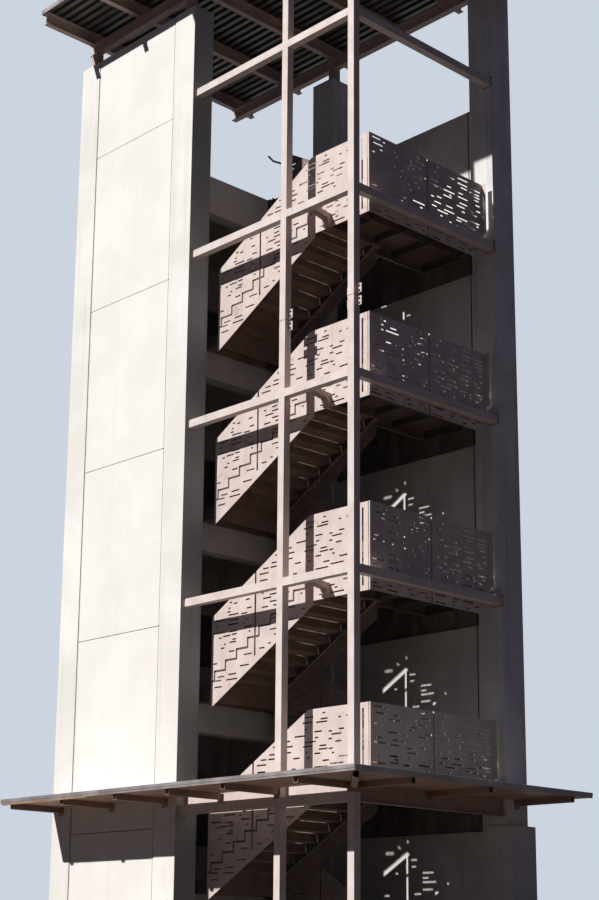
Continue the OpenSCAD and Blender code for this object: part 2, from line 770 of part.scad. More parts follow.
// Kinked arms from the rear of the front beams back to the landing guards and down their face
module bracket_arms() {
    y0 = post_w / 2 + fit;
    y1 = guard_set - fit;
    low = -beam_drop - post_w;
    for (i = [2 : levels - 1])
        color(steel_dark) translate([flight_x1 + arm_x, 0, landing_z(i)]) push_arm()
            polygon([
                [y0, low + arm_d], [y0, low], [y1 - arm_knee, low - arm_fall], [y1 - arm_knee / 2, -guard_skirt],
                [y1, -guard_skirt], [y1, low - arm_fall + arm_d], [y1 - arm_knee, low - arm_fall + arm_d]]);
}

// Profile in the YZ plane pushed along +X by the width of an arm
module push_arm() {
    rotate([90, 0, 90]) linear_extrude(arm_w) children();
}

roof_x0 = pylon_x0 + purlin_in - purlin_w / 2;
purlin_n = ceil((canopy_right - roof_x0) / purlin_step);
roof_x1 = roof_x0 + purlin_n * purlin_step + purlin_w;
roof_y1 = rear_beam_mid + roof_rear;

module roof_beams() {
    color(steel_dark)
        for (y = [0, rear_beam_mid])
            translate([roof_x0, y, roof_z]) i_beam(roof_x1 - roof_x0, roof_beam_h, roof_beam_w);
}

module roof_purlins() {
    color(steel_dark)
        for (i = [0 : purlin_n])
            translate([roof_x0 + purlin_w / 2 + i * purlin_step, -roof_front, purlin_z])
                rotate([0, 0, 90]) i_beam(roof_y1 + roof_front, purlin_h, purlin_w);
}

// Ribbed sheet over the purlins, its ribs along the front
module roof_deck() {
    n = floor((roof_y1 + roof_front + 2 * deck_end) / rib_step);
    rib = [[0, 0], [0.45, 0], [0.55, 1], [0.95, 1]];
    top = [for (i = [0 : n - 1]) for (p = rib) [(i + p[0]) * rib_step, p[1] * rib_h]];
    color(zinc) translate([roof_x0 - deck_side, -roof_front - deck_end, deck_z])
        rotate([90, 0, 90]) linear_extrude(roof_x1 - roof_x0 + 2 * deck_side)
            polygon(concat(top, [[n * rib_step, 0], [n * rib_step, sheet_t]],
                [for (i = [len(top) - 1 : -1 : 0]) top[i] + [0, sheet_t]]));
}

// Short posts between the concrete and the roof beams. The rear left column ends below the roof.
module roof_stubs() {
    right = pylon_x1 - column_w / 2;
    color(steel_dark) {
        for (x = [pylon_x0 + column_w / 2, right])
            translate([x, 0, pylon_h + fit]) square_tube(stub_w, post_wall, roof_z - pylon_h - 2 * fit);
        translate([right, rear_beam_mid, rear_top + fit])
            square_tube(stub_w, post_wall, roof_z - rear_top - 2 * fit);
    }
}

canopy_x0 = pylon_x0;
canopy_y1 = rear_y + rear_d + canopy_rear;

// Plate round the front and the right side, in two arms that meet at the corner
module canopy_plate() {
    color(zinc) translate([0, 0, canopy_low]) union() {
        translate([canopy_x0, -canopy_front, 0])
            cube([canopy_right - canopy_x0, canopy_front - pylon_front - fit, canopy_t]);
        translate([right_col_x1 + fit, -canopy_front, 0])
            cube([canopy_right - right_col_x1 - fit, canopy_front + canopy_y1, canopy_t]);
    }
}

// Hollow outrigger along +X from its end plate at the origin, its top at z = outrigger_h
module outrigger(length) {
    union() {
        difference() {
            translate([0, -outrigger_w / 2, 0]) cube([length, outrigger_w, outrigger_h]);
            translate([end_plate_t, -outrigger_w / 2 + outrigger_wall, outrigger_wall])
                cube([length, outrigger_w - 2 * outrigger_wall, outrigger_h - 2 * outrigger_wall]);
        }
        translate([0, -end_plate_w / 2, outrigger_h - end_plate_h]) cube([end_plate_t, end_plate_w, end_plate_h]);
    }
}

module canopy_outriggers() {
    front = [
        [pylon_x0 + column_w / 2, pylon_front],
        [(pylon_mid_x0 + pylon_mid_x1) / 2, pylon_front - panel_set],
        [pylon_x1 - column_w / 2, pylon_front],
        [(pylon_x1 - column_w / 2 - mid_post_x) / 2, post_w / 2],
        [-mid_post_x, post_w / 2],
        [0, post_w / 2]];
    corner = post_w / 2 * sqrt(2) + outrigger_w / 2;
    reach = (canopy_front - outrigger_in) * sqrt(2) - corner - outrigger_w;
    color(steel_dark) translate([0, 0, outrigger_z]) {
        for (p = front)
            translate([p[0], -p[1] - fit, 0]) rotate([0, 0, -90])
                outrigger(canopy_front - outrigger_in - p[1] - fit);
        rotate([0, 0, -45]) translate([corner, 0, 0]) outrigger(reach);
        for (y = [0, rear_y / 2, rear_y + rear_d / 2])
            translate([right_col_x1 + fit, y, 0]) outrigger(canopy_right - outrigger_in - right_col_x1 - fit);
    }
}

// Deep beam that carries the right arm of the canopy
module canopy_beams() {
    y0 = post_w / 2 + fit;
    color(steel_dark) translate([0, y0, side_beam_z]) rotate([0, 0, 90])
        i_beam(rear_y - fit - y0, canopy_low - fit - side_beam_z, post_w);
}

post(0);  // corner_post
post(-mid_post_x);  // middle_post
column(pylon_x0, -pylon_front, column_w, pylon_d, pylon_h);  // pylon_left_column
pylon_right_column();
pylon_panels();
right_column();
rear_middle_column();
column(pylon_x0, rear_y, column_w, rear_d, sill_z(levels));  // rear_left_column
stair_spandrels();
lobby_rear_spandrels();
lobby_side_spandrels();
stair_windows();
lobby_windows();
for (i = [1 : levels]) {
    lobby_floor(i);
    back_flight(i);
    frame_beams(i);
}
for (i = [1 : levels - 1]) {
    landing(i);
    front_flight(i);
    front_guard(i);
    side_guard(i);
}
front_well_guards();
back_well_guards();
inner_rails();
bracket_arms();
threshold_plates();
roof_beams();
roof_purlins();
roof_deck();
roof_stubs();
canopy_plate();
canopy_outriggers();
canopy_beams();
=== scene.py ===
import math
import random

import bpy
from mathutils import Matrix, Vector
from mathutils.bvhtree import BVHTree


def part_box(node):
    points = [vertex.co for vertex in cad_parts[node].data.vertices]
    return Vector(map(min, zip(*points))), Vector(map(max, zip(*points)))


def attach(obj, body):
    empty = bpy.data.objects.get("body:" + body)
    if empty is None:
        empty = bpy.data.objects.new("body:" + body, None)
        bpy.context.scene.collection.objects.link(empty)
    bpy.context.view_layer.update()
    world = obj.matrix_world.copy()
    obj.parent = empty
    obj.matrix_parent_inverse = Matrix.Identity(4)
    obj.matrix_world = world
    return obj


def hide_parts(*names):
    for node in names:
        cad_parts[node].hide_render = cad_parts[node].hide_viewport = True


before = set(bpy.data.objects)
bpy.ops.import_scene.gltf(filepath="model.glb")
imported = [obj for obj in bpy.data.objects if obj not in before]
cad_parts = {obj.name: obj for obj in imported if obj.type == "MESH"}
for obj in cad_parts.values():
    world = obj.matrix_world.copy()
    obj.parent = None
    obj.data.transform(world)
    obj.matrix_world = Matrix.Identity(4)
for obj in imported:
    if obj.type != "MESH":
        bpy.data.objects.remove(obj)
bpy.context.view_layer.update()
bpy.ops.object.select_all(action="DESELECT")

# Cast concrete columns. They are poured in steel forms, so their faces are smooth,
# with clouds where the mix was wetter, small air holes, and rain runs down from the top.
# One skin of clouds, holes and runs serves every concrete part of the tower.


def new_node(tree, kind, inputs=(), **settings):
    """A shader node with its settings, its sockets given as {socket: value or output}."""
    node = tree.nodes.new("ShaderNode" + kind)
    for key, value in settings.items():
        setattr(node, key, value)
    for key, value in dict(inputs).items():
        if isinstance(value, bpy.types.NodeSocket):
            tree.links.new(value, node.inputs[key])
        else:
            node.inputs[key].default_value = value
    return node


def new_group(name, inputs, outputs):
    """An empty shader group, its input node and its output node."""
    tree = bpy.data.node_groups.new(name, "ShaderNodeTree")
    for side, sockets in (("INPUT", inputs), ("OUTPUT", outputs)):
        for socket, kind in sockets.items():
            tree.interface.new_socket(name=socket, in_out=side, socket_type="NodeSocket" + kind)
    return tree, tree.nodes.new("NodeGroupInput").outputs, tree.nodes.new("NodeGroupOutput").inputs


def ramp(tree, value, low, high):
    """0 below low, 1 above high."""
    return new_node(
        tree, "MapRange", {"Value": value, "From Min": low, "From Max": high},
        interpolation_type="SMOOTHSTEP",
    ).outputs["Result"]


def math_node(tree, operation, a, b):
    """Two values worked into one."""
    return new_node(tree, "Math", {0: a, 1: b}, operation=operation).outputs[0]


def scaled(tree, value, times, plus):
    """A value multiplied, then raised."""
    return new_node(tree, "Math", {0: value, 1: times, 2: plus}, operation="MULTIPLY_ADD").outputs[0]


def mix_colour(tree, factor, a, b, blend="MIX"):
    """Colour a where the factor is 0, and b over it where the factor is 1."""
    return new_node(
        tree, "Mix", {"Factor": factor, 6: a, 7: b}, data_type="RGBA", blend_type=blend
    ).outputs[2]


def noise(tree, vector, scale, detail=4.0, roughness=0.55):
    """Clouds between 0 and 1."""
    return new_node(
        tree, "TexNoise", {"Vector": vector, "Scale": scale, "Detail": detail, "Roughness": roughness}
    ).outputs["Fac"]


def stretched(tree, vector, scale):
    """Places scaled along each axis, so that a pattern is drawn out where the scale is low."""
    return new_node(tree, "Mapping", {"Vector": vector, "Scale": scale}).outputs["Vector"]


skin, skin_in, skin_out = new_group(
    "Cast concrete skin",
    {
        "Vector": "Vector", "Pale": "Color", "Deep": "Color", "Stain": "Color",
        "Runs": "Float", "Holes": "Float",
    },
    {"Color": "Color", "Roughness": "Float", "Height": "Float"},
)
clouds = noise(skin, skin_in["Vector"], 0.55, 7.0, 0.62)
patches = noise(skin, stretched(skin, skin_in["Vector"], (1.3, 1.3, 0.45)), 1.7, 5.0, 0.6)
grain = noise(skin, skin_in["Vector"], 38.0, 3.0, 0.7)
runs = noise(skin, stretched(skin, skin_in["Vector"], (7.0, 7.0, 0.16)), 1.0, 5.0, 0.65)
holes = new_node(skin, "TexVoronoi", {"Vector": skin_in["Vector"], "Scale": 5.5}, feature="F1").outputs
hole_size = ramp(skin, noise(skin, skin_in["Vector"], 2.3), 0.45, 0.75)
hole_mask = math_node(
    skin, "MULTIPLY", hole_size,
    new_node(
        skin, "MapRange", {"Value": holes["Distance"], "From Min": 0.08, "From Max": 0.05},
    ).outputs["Result"],
)
hole_mask = math_node(skin, "MULTIPLY", hole_mask, skin_in["Holes"])
body = mix_colour(skin, ramp(skin, clouds, 0.36, 0.66), skin_in["Deep"], skin_in["Pale"])
body = mix_colour(skin, ramp(skin, patches, 0.50, 0.78), body, mix_colour(skin, 0.5, body, skin_in["Deep"]))
run_mask = math_node(skin, "MULTIPLY", ramp(skin, runs, 0.52, 0.74), skin_in["Runs"])
body = mix_colour(skin, run_mask, body, skin_in["Stain"])
hole_shadow = (0.16, 0.15, 0.14, 1)
body = mix_colour(skin, math_node(skin, "MULTIPLY", hole_mask, 0.55), body, hole_shadow)
grain_grey = new_node(skin, "CombineColor", {0: grain, 1: grain, 2: grain}).outputs[0]
body = mix_colour(skin, 0.10, body, grain_grey, "OVERLAY")
skin.links.new(body, skin_out["Color"])
skin.links.new(scaled(skin, patches, 0.25, 0.68), skin_out["Roughness"])
skin.links.new(
    math_node(skin, "SUBTRACT", math_node(skin, "MULTIPLY", grain, 0.25), hole_mask), skin_out["Height"]
)


def surface(name, constants):
    """A new material, its node tree and its Principled BSDF, which has these constant values."""
    material = bpy.data.materials.new(name)
    material.use_nodes = True
    tree = material.node_tree
    bsdf = tree.nodes["Principled BSDF"]
    for key, value in constants.items():
        bsdf.inputs[key].default_value = value
    return material, tree, bsdf


def coated(name, group, values, shine, relief, depth, arris=0.0):
    """A material from a shared coat with its own values. An arris radius rounds its edges."""
    material, tree, bsdf = surface(name, {"Specular IOR Level": shine})
    coat = tree.nodes.new("ShaderNodeGroup")
    coat.node_tree = group
    for key, value in values.items():
        coat.inputs[key].default_value = value
    tree.links.new(new_node(tree, "TexCoord").outputs["Object"], coat.inputs["Vector"])
    bump = new_node(
        tree, "Bump", {"Height": coat.outputs["Height"], "Strength": relief, "Distance": depth}
    )
    if arris:
        rounded = new_node(tree, "Bevel", {"Radius": arris}, samples=4)
        tree.links.new(rounded.outputs["Normal"], bump.inputs["Normal"])
    tree.links.new(coat.outputs["Color"], bsdf.inputs["Base Color"])
    tree.links.new(coat.outputs["Roughness"], bsdf.inputs["Roughness"])
    tree.links.new(bump.outputs["Normal"], bsdf.inputs["Normal"])
    return material


def concrete(name, pale, deep, stain, runs, holes):
    """Cast concrete in two greys, with as many stained runs and air holes as asked for."""
    values = {"Pale": pale, "Deep": deep, "Stain": stain, "Runs": runs, "Holes": holes}
    return coated(name, skin, values, shine=0.25, relief=0.35, depth=0.004, arris=0.012)


def cover(material, axis, side, colour, blend="MIX"):
    """Gives the faces that look along an axis, to its side 1 or -1, another colour."""
    tree = material.node_tree
    bsdf = tree.nodes["Principled BSDF"]
    below = bsdf.inputs["Base Color"].links[0].from_socket
    normal = new_node(tree, "NewGeometry").outputs["Normal"]
    along = new_node(tree, "SeparateXYZ", {0: normal}).outputs[axis]
    share = ramp(tree, along, 0.90 * side, 0.98 * side)
    tree.links.new(mix_colour(tree, share, below, colour, blend), bsdf.inputs["Base Color"])
    return material


def dress(material, *names):
    """Gives CAD nodes a material."""
    for name in names:
        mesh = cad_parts[name].data
        mesh.materials.clear()
        mesh.materials.append(material)


column_concrete = concrete(
    "Column concrete", (0.80, 0.78, 0.755, 1), (0.70, 0.68, 0.65, 1), (0.40, 0.38, 0.35, 1), 0.26, 1.0
)
# Their sides towards the stair are partly bare grey concrete and partly painted shade, multiplied to a
# bluish grey
cover(column_concrete, "X", 1, (0.50, 0.54, 0.57, 1), "MULTIPLY")
dress(column_concrete, "pylon_left_column", "pylon_right_column")
rear_concrete = concrete(
    "Rear column concrete", (0.84, 0.835, 0.83, 1), (0.64, 0.635, 0.63, 1), (0.34, 0.33, 0.32, 1), 0.45, 1.0
)
dress(rear_concrete, "right_column", "rear_middle_column", "rear_left_column")

# Precast panels between the pylon's columns. They are trowelled nearly white, and are
# paler and cleaner than the frame. Dark strips in the open joints beside them are painted shade.

panel_concrete = concrete(
    "Panel concrete", (0.80, 0.785, 0.76, 1), (0.74, 0.72, 0.69, 1), (0.52, 0.50, 0.47, 1), 0.12, 0.45
)
dress(panel_concrete, "pylon_panels")

two_tone, two_tone_in, two_tone_out = new_group(
    "Two-tone clouds",
    {
        "Vector": "Vector", "Dark": "Color", "Pale": "Color", "Scale": "Float", "Detail": "Float",
        "Coarseness": "Float", "Low": "Float", "High": "Float",
    },
    {"Color": "Color", "Clouds": "Float"},
)
tone_clouds = noise(two_tone, *[two_tone_in[key] for key in ("Vector", "Scale", "Detail", "Coarseness")])
tone = ramp(two_tone, tone_clouds, two_tone_in["Low"], two_tone_in["High"])
two_tone.links.new(
    mix_colour(two_tone, tone, two_tone_in["Dark"], two_tone_in["Pale"]), two_tone_out["Color"]
)
two_tone.links.new(tone_clouds, two_tone_out["Clouds"])


def mottled(name, dark, pale, clouds, turn, constants, stretch=None, dulling=None, relief=None):
    """A material in two tones that turn at two levels of a cloud pattern.

    The clouds are a scale, a detail and a coarseness. Dulling works them into the roughness as
    a factor and a least value. Relief is a strength and a depth for bumps in the same clouds,
    or stands after the scale and detail of a pattern of its own.
    """
    material, tree, bsdf = surface(name, constants)
    place = new_node(tree, "TexCoord").outputs["Object"]
    scale, detail, coarseness = clouds
    low, high = turn
    tones = tree.nodes.new("ShaderNodeGroup")
    tones.node_tree = two_tone
    for key, value in {
        "Dark": dark, "Pale": pale, "Scale": scale, "Detail": detail, "Coarseness": coarseness,
        "Low": low, "High": high,
    }.items():
        tones.inputs[key].default_value = value
    tree.links.new(stretched(tree, place, stretch) if stretch else place, tones.inputs["Vector"])
    tree.links.new(tones.outputs["Color"], bsdf.inputs["Base Color"])
    if dulling:
        tree.links.new(scaled(tree, tones.outputs["Clouds"], *dulling), bsdf.inputs["Roughness"])
    if relief:
        *own, strength, depth = relief
        height = noise(tree, place, *own) if own else tones.outputs["Clouds"]
        bump = new_node(tree, "Bump", {"Height": height, "Strength": strength, "Distance": depth})
        tree.links.new(bump.outputs["Normal"], bsdf.inputs["Normal"])
    return material


joint_shade = mottled(
    "Joint shade", (0.022, 0.020, 0.019, 1), (0.06, 0.055, 0.05, 1), (9.0, 4.0, 0.6), (0.35, 0.68),
    {"Roughness": 0.8},
)


def choose(*pieces):
    """Selects these pieces alone and makes the first the active one."""
    bpy.ops.object.select_all(action="DESELECT")
    for piece in pieces:
        piece.select_set(True)
    bpy.context.view_layer.objects.active = pieces[0]


def settle():
    """Puts the place, turn and size of what is selected into its mesh."""
    bpy.ops.object.transform_apply(location=True, rotation=True, scale=True)


def block(centre, size):
    """A cube drawn out to a size at a place, as the start of a piece."""
    bpy.ops.mesh.primitive_cube_add(size=1, location=centre, scale=size)
    settle()
    return bpy.context.object


def edit(piece, select_mode="FACE"):
    """Opens a piece in edit mode with nothing selected."""
    choose(piece)
    bpy.ops.object.mode_set(mode="EDIT")
    bpy.ops.mesh.select_mode(type=select_mode)
    bpy.ops.mesh.select_all(action="DESELECT")


def pick(piece, test):
    """Selects the faces of the piece that is being edited for which test is true."""
    bpy.ops.object.mode_set(mode="OBJECT")
    for face in piece.data.polygons:
        face.select = bool(test(face))
    bpy.ops.object.mode_set(mode="EDIT")


def close(piece, name, material):
    """Ends the shaping of a piece: its place goes into its mesh, and it gets its finish and body."""
    if piece.mode == "EDIT":
        bpy.ops.object.mode_set(mode="OBJECT")
    choose(piece)
    settle()
    piece.name = name
    piece.data.materials.clear()
    piece.data.materials.append(material)
    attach(piece, "root")
    return piece


def join(pieces):
    """Makes one object of several."""
    choose(*pieces)
    bpy.ops.object.join()
    return pieces[0]


strip_t = 0.010
strip_sunk = 0.003
strip_proud = 0.002


def shade_strip(x, width, y, foot, top):
    """A dark strip in a joint of the front at y, a little proud of it and sunk along its middle, as painted
    shade in the open joint.
    """
    centre = (x + width / 2, y - strip_proud + strip_t / 2, (foot + top) / 2)
    strip = block(centre, (width, strip_t, top - foot))
    edit(strip)
    pick(strip, lambda f: f.normal.y < -0.9)
    bpy.ops.mesh.inset(thickness=width * 0.3)
    bpy.ops.transform.translate(value=(0, strip_sunk, 0))
    bpy.ops.object.mode_set(mode="OBJECT")
    return strip


joint_clear = 0.001
strip_short = 0.002
left_joint = 0.020
right_joint = 0.045
panels_low, panels_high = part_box("pylon_panels")
pylon_top = panels_high.z
# Dark strips in the joints at both sides of the panels, as painted shade in the open joints
joint_strips = [
    shade_strip(x, width, panels_low.y, 0.0, pylon_top - strip_short)
    for x, width in (
        (panels_low.x + joint_clear, left_joint),
        (panels_high.x - joint_clear - right_joint, right_joint),
    )
]
close(join(joint_strips), "pylon_joint_shades", joint_shade)

# Wall panels and building floors. They are precast like the pylon's panels, in a greyer mix,
# and are stained by dust and water from the open floors above them.

wall_concrete = concrete(
    "Wall concrete", (0.82, 0.80, 0.77, 1), (0.64, 0.625, 0.60, 1), (0.34, 0.33, 0.31, 1), 0.34, 0.7
)
dress(wall_concrete, "stair_spandrels", "lobby_rear_spandrels", "lobby_side_spandrels")
wall_low, wall_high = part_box("stair_spandrels")
right_low, right_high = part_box("right_column")
# A dark strip in the open joint beside the right column, as painted shade
wall_joint = 0.135
# The strip starts above the pier, at a seventh of the right column's height
joint_foot = right_high.z / 7
close(
    shade_strip(
        wall_high.x - joint_clear - wall_joint, wall_joint, wall_low.y, joint_foot,
        wall_high.z - strip_short,
    ),
    "wall_joint_shade", joint_shade,
)


def numbered(stem, count):
    """The names of like nodes, one a storey."""
    return [f"{stem}_{i}" for i in range(1, count + 1)]


floor_concrete = concrete(
    "Floor concrete", (0.72, 0.70, 0.67, 1), (0.56, 0.54, 0.51, 1), (0.30, 0.28, 0.26, 1), 0.30, 1.0
)
dress(floor_concrete, *numbered("lobby_floor", 5))

# Dark sheets in the window openings between the wall panels are painted shade for the unlit rooms
# behind them. Nothing shows behind them, only a dull sheen and slack folds.

window_shade_sheet = mottled(
    "Window shade sheet", (0.13, 0.117, 0.11, 1), (0.22, 0.20, 0.187, 1), (1.2, 5.0, 0.6), (0.40, 0.66),
    {"Roughness": 0.55, "Specular IOR Level": 0.25}, stretch=(3.0, 3.0, 0.8), relief=(0.5, 0.02),
)
dress(window_shade_sheet, "stair_windows", "lobby_windows")

# Slender posts of square steel tube, spliced once with a weld ring between two pairs of
# lugs, and set on base plates with anchor bolts. All the steel has a taupe shop primer that
# is rubbed at its edges and starts to rust at its welds.

primer, primer_in, primer_out = new_group(
    "Shop primer",
    {"Vector": "Vector", "Paint": "Color", "Faded": "Color", "Rust": "Float", "Wear": "Float"},
    {"Color": "Color", "Roughness": "Float", "Height": "Float"},
)
coat = noise(primer, primer_in["Vector"], 2.2, 6.0, 0.6)
drips = noise(primer, stretched(primer, primer_in["Vector"], (9.0, 9.0, 0.5)), 1.0, 4.0, 0.6)
speck = noise(primer, primer_in["Vector"], 46.0, 4.0, 0.7)
bloom = noise(primer, primer_in["Vector"], 3.4, 8.0, 0.68)
paint = mix_colour(primer, ramp(primer, coat, 0.38, 0.66), primer_in["Paint"], primer_in["Faded"])
dirt = (0.12, 0.09, 0.08, 1)
paint = mix_colour(
    primer, math_node(primer, "MULTIPLY", ramp(primer, drips, 0.50, 0.75), 0.22), paint,
    mix_colour(primer, 0.5, primer_in["Paint"], dirt),
)
dark_rust = (0.20, 0.072, 0.032, 1)
pale_rust = (0.36, 0.15, 0.075, 1)
rust_edge = math_node(
    primer, "ADD", ramp(primer, bloom, 0.60, 0.72), math_node(primer, "MULTIPLY", speck, 0.25)
)
rust_mask = math_node(primer, "MULTIPLY", rust_edge, ramp(primer, bloom, 0.56, 0.66))
rust_mask = math_node(primer, "MULTIPLY", rust_mask, primer_in["Rust"])
rust_tone = mix_colour(primer, ramp(primer, speck, 0.35, 0.65), dark_rust, pale_rust)
paint = mix_colour(primer, rust_mask, paint, rust_tone)
worn_r = 0.006
bevelled = new_node(primer, "Bevel", {"Radius": worn_r}, samples=4).outputs["Normal"]
facing = new_node(
    primer, "VectorMath", {0: bevelled, 1: new_node(primer, "NewGeometry").outputs["Normal"]},
    operation="DOT_PRODUCT",
).outputs["Value"]
edge = new_node(
    primer, "MapRange", {"Value": facing, "From Min": 0.995, "From Max": 0.93}
).outputs["Result"]
edge = math_node(primer, "MULTIPLY", edge, ramp(primer, speck, 0.42, 0.60))
edge = math_node(primer, "MULTIPLY", edge, primer_in["Wear"])
rubbed_steel = (0.62, 0.56, 0.53, 1)
primer.links.new(mix_colour(primer, edge, paint, rubbed_steel), primer_out["Color"])
primer.links.new(
    math_node(
        primer, "MAXIMUM", scaled(primer, coat, 0.22, 0.42), math_node(primer, "MULTIPLY", rust_mask, 0.85)
    ),
    primer_out["Roughness"],
)
primer.links.new(
    math_node(primer, "ADD", math_node(primer, "MULTIPLY", speck, 0.35), rust_mask), primer_out["Height"]
)


def primed(name, paint, faded, rust, wear):
    """Steel in shop primer that fades to another tone, with as much rust and wear as asked for."""
    values = {"Paint": paint, "Faded": faded, "Rust": rust, "Wear": wear}
    return coated(name, primer, values, shine=0.4, relief=0.25, depth=0.0015)


post_primer = primed("Post primer", (0.62, 0.535, 0.505, 1), (0.70, 0.615, 0.585, 1), 0.30, 0.7)
dress(post_primer, "corner_post", "middle_post")

weld_metal = mottled(
    "Weld metal", (0.24, 0.13, 0.075, 1), (0.42, 0.29, 0.19, 1), (21.0, 6.0, 0.55), (0.4, 0.62),
    {"Roughness": 0.62, "Metallic": 0.25}, relief=(90.0, 2.0, 0.6, 0.002),
)
bolt_zinc = mottled(
    "Bolt zinc", (0.20, 0.165, 0.15, 1), (0.36, 0.32, 0.30, 1), (60.0, 3.0, 0.55), (0.35, 0.65),
    {"Roughness": 0.48, "Metallic": 0.55},
)
bolt_black = mottled(
    "Bolt black", (0.03, 0.026, 0.024, 1), (0.07, 0.06, 0.055, 1), (50.0, 3.0, 0.55), (0.35, 0.65),
    {"Roughness": 0.6},
)


def spread(pattern, places):
    """Copies of a pattern at each place, a 4x4 matrix, joined as one object. The pattern goes."""
    made = []
    for place in places:
        twin = pattern.copy()
        twin.data = pattern.data.copy()
        bpy.context.collection.objects.link(twin)
        twin.matrix_world = place
        made.append(twin)
    bpy.data.objects.remove(pattern)
    choose(*made)
    bpy.context.view_layer.update()
    settle()
    if len(made) > 1:
        bpy.ops.object.join()
    return made[0]


def copies(pattern, places, name, material):
    """A finished piece that is a pattern repeated."""
    return close(spread(pattern, places), name, material)


def facing_to(point, normal):
    """A matrix that puts a pattern's +Z along a normal at a point."""
    turn = Vector(normal).to_track_quat("Z", "Y").to_matrix().to_4x4()
    return Matrix.Translation(Vector(point)) @ turn


def corners(place, reach, lift):
    """Places at the four corners of a plate, for its bolts."""
    return [place @ Matrix.Translation((a * reach, b * reach, lift)) for a in (-1, 1) for b in (-1, 1)]


def hex_bolt(across, thread=0.0):
    """A washer, a chamfered hexagon head on it and, if asked for, a threaded end, along +Z from 0."""
    washer_t = across * 0.12
    head_h = across * 0.62
    bpy.ops.mesh.primitive_cylinder_add(
        vertices=16, radius=across * 0.78, depth=washer_t, location=(0, 0, washer_t / 2)
    )
    settle()
    washer = bpy.context.object
    bpy.ops.mesh.primitive_cylinder_add(
        vertices=6, radius=across / math.sqrt(3), depth=head_h, location=(0, 0, washer_t + head_h / 2)
    )
    head = bpy.context.object
    edit(head)
    pick(head, lambda f: f.normal.z > 0.9)
    bpy.ops.mesh.inset(thickness=across * 0.09)
    bpy.ops.transform.translate(value=(0, 0, across * 0.06))
    if thread:
        bpy.ops.mesh.inset(thickness=across * 0.16)
        bpy.ops.mesh.extrude_region_move(TRANSFORM_OT_translate={"value": (0, 0, thread)})
    bpy.ops.object.mode_set(mode="OBJECT")
    return join([washer, head])


post_half = -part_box("frame_beams_2")[0].y
post_xs = (0.0, (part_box("middle_post")[0].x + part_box("middle_post")[1].x) / 2)
splice_z = 11.895
weld_w = 0.006
weld_h = 0.016
weld_proud = 0.002

bpy.ops.mesh.primitive_plane_add(size=2 * (post_half + weld_proud))
splice = bpy.context.object
edit(splice)
pick(splice, lambda f: True)
bpy.ops.mesh.inset(thickness=weld_w)
bpy.ops.mesh.delete(type="FACE")
pick(splice, lambda f: True)
bpy.ops.mesh.extrude_region_move(TRANSFORM_OT_translate={"value": (0, 0, weld_h)})
bpy.ops.mesh.select_all(action="SELECT")
bpy.ops.mesh.normals_make_consistent(inside=False)
bpy.ops.mesh.bevel(offset=0.0015, segments=1)
bpy.ops.object.mode_set(mode="OBJECT")
copies(
    splice, [Matrix.Translation((x, 0, splice_z - weld_h / 2)) for x in post_xs], "splice_welds",
    weld_metal,
)

lug_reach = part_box("corner_post")[1].x
lug_mid = (post_half + lug_reach) / 2
lug_back = 0.022
lug_half = 0.006
lug_rows = (-0.165, -0.075, 0.075, 0.165)
lug_places = [
    facing_to((x + side * lug_mid, lug_back + y * lug_half, splice_z + row), (0, y, 0))
    for x in post_xs for side in (-1, 1) for row in lug_rows for y in (-1, 1)
]
copies(hex_bolt(0.027), lug_places, "splice_bolts", bolt_black)

base_top = 0.020
anchor_reach = 0.105
anchor_places = [
    place for x in post_xs for place in corners(Matrix.Translation((x, 0, 0)), anchor_reach, base_top)
]
copies(hex_bolt(0.030, thread=0.030), anchor_places, "base_anchors", bolt_zinc)

# Square tubes between the posts and the concrete, and the kinked arms that hold the landing
# guards back from them. The tubes are welded to the posts and bolted to the concrete with
# end plates.

dress(post_primer, *numbered("frame_beams", 5))
arm_primer = primed("Arm primer", (0.44, 0.32, 0.275, 1), (0.54, 0.41, 0.36, 1), 0.5, 0.4)
dress(arm_primer, "bracket_arms")

plate_half = 0.115
plate_t = 0.012
plate_clip = 0.012
plate_bolt_reach = 0.095


def end_plate():
    """A square plate with clipped corners, along +Z from 0."""
    bpy.ops.mesh.primitive_plane_add(size=2 * plate_half)
    plate = bpy.context.object
    edit(plate, "VERT")
    bpy.ops.mesh.select_all(action="SELECT")
    bpy.ops.mesh.bevel(offset=plate_clip, affect="VERTICES", segments=2)
    bpy.ops.mesh.select_all(action="SELECT")
    bpy.ops.mesh.extrude_region_move(TRANSFORM_OT_translate={"value": (0, 0, plate_t)})
    bpy.ops.mesh.select_all(action="SELECT")
    bpy.ops.mesh.normals_make_consistent(inside=False)
    bpy.ops.object.mode_set(mode="OBJECT")
    return plate


column_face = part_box("pylon_right_column")[1].x
# The pier at the right column's foot stands proud of the column
pier_proud = 0.04
right_face = right_low.y + pier_proud
tube_zs = [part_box(name)[0].z + post_half for name in numbered("frame_beams", 5)]
tube_ends = [facing_to((column_face, 0, z), (1, 0, 0)) for z in tube_zs]
tube_ends += [facing_to((0, right_face, z), (0, -1, 0)) for z in tube_zs[1:]]
copies(end_plate(), tube_ends, "tube_end_plates", arm_primer)
plate_bolts = [place for end in tube_ends for place in corners(end, plate_bolt_reach, plate_t)]
copies(hex_bolt(0.024), plate_bolts, "tube_end_bolts", bolt_zinc)
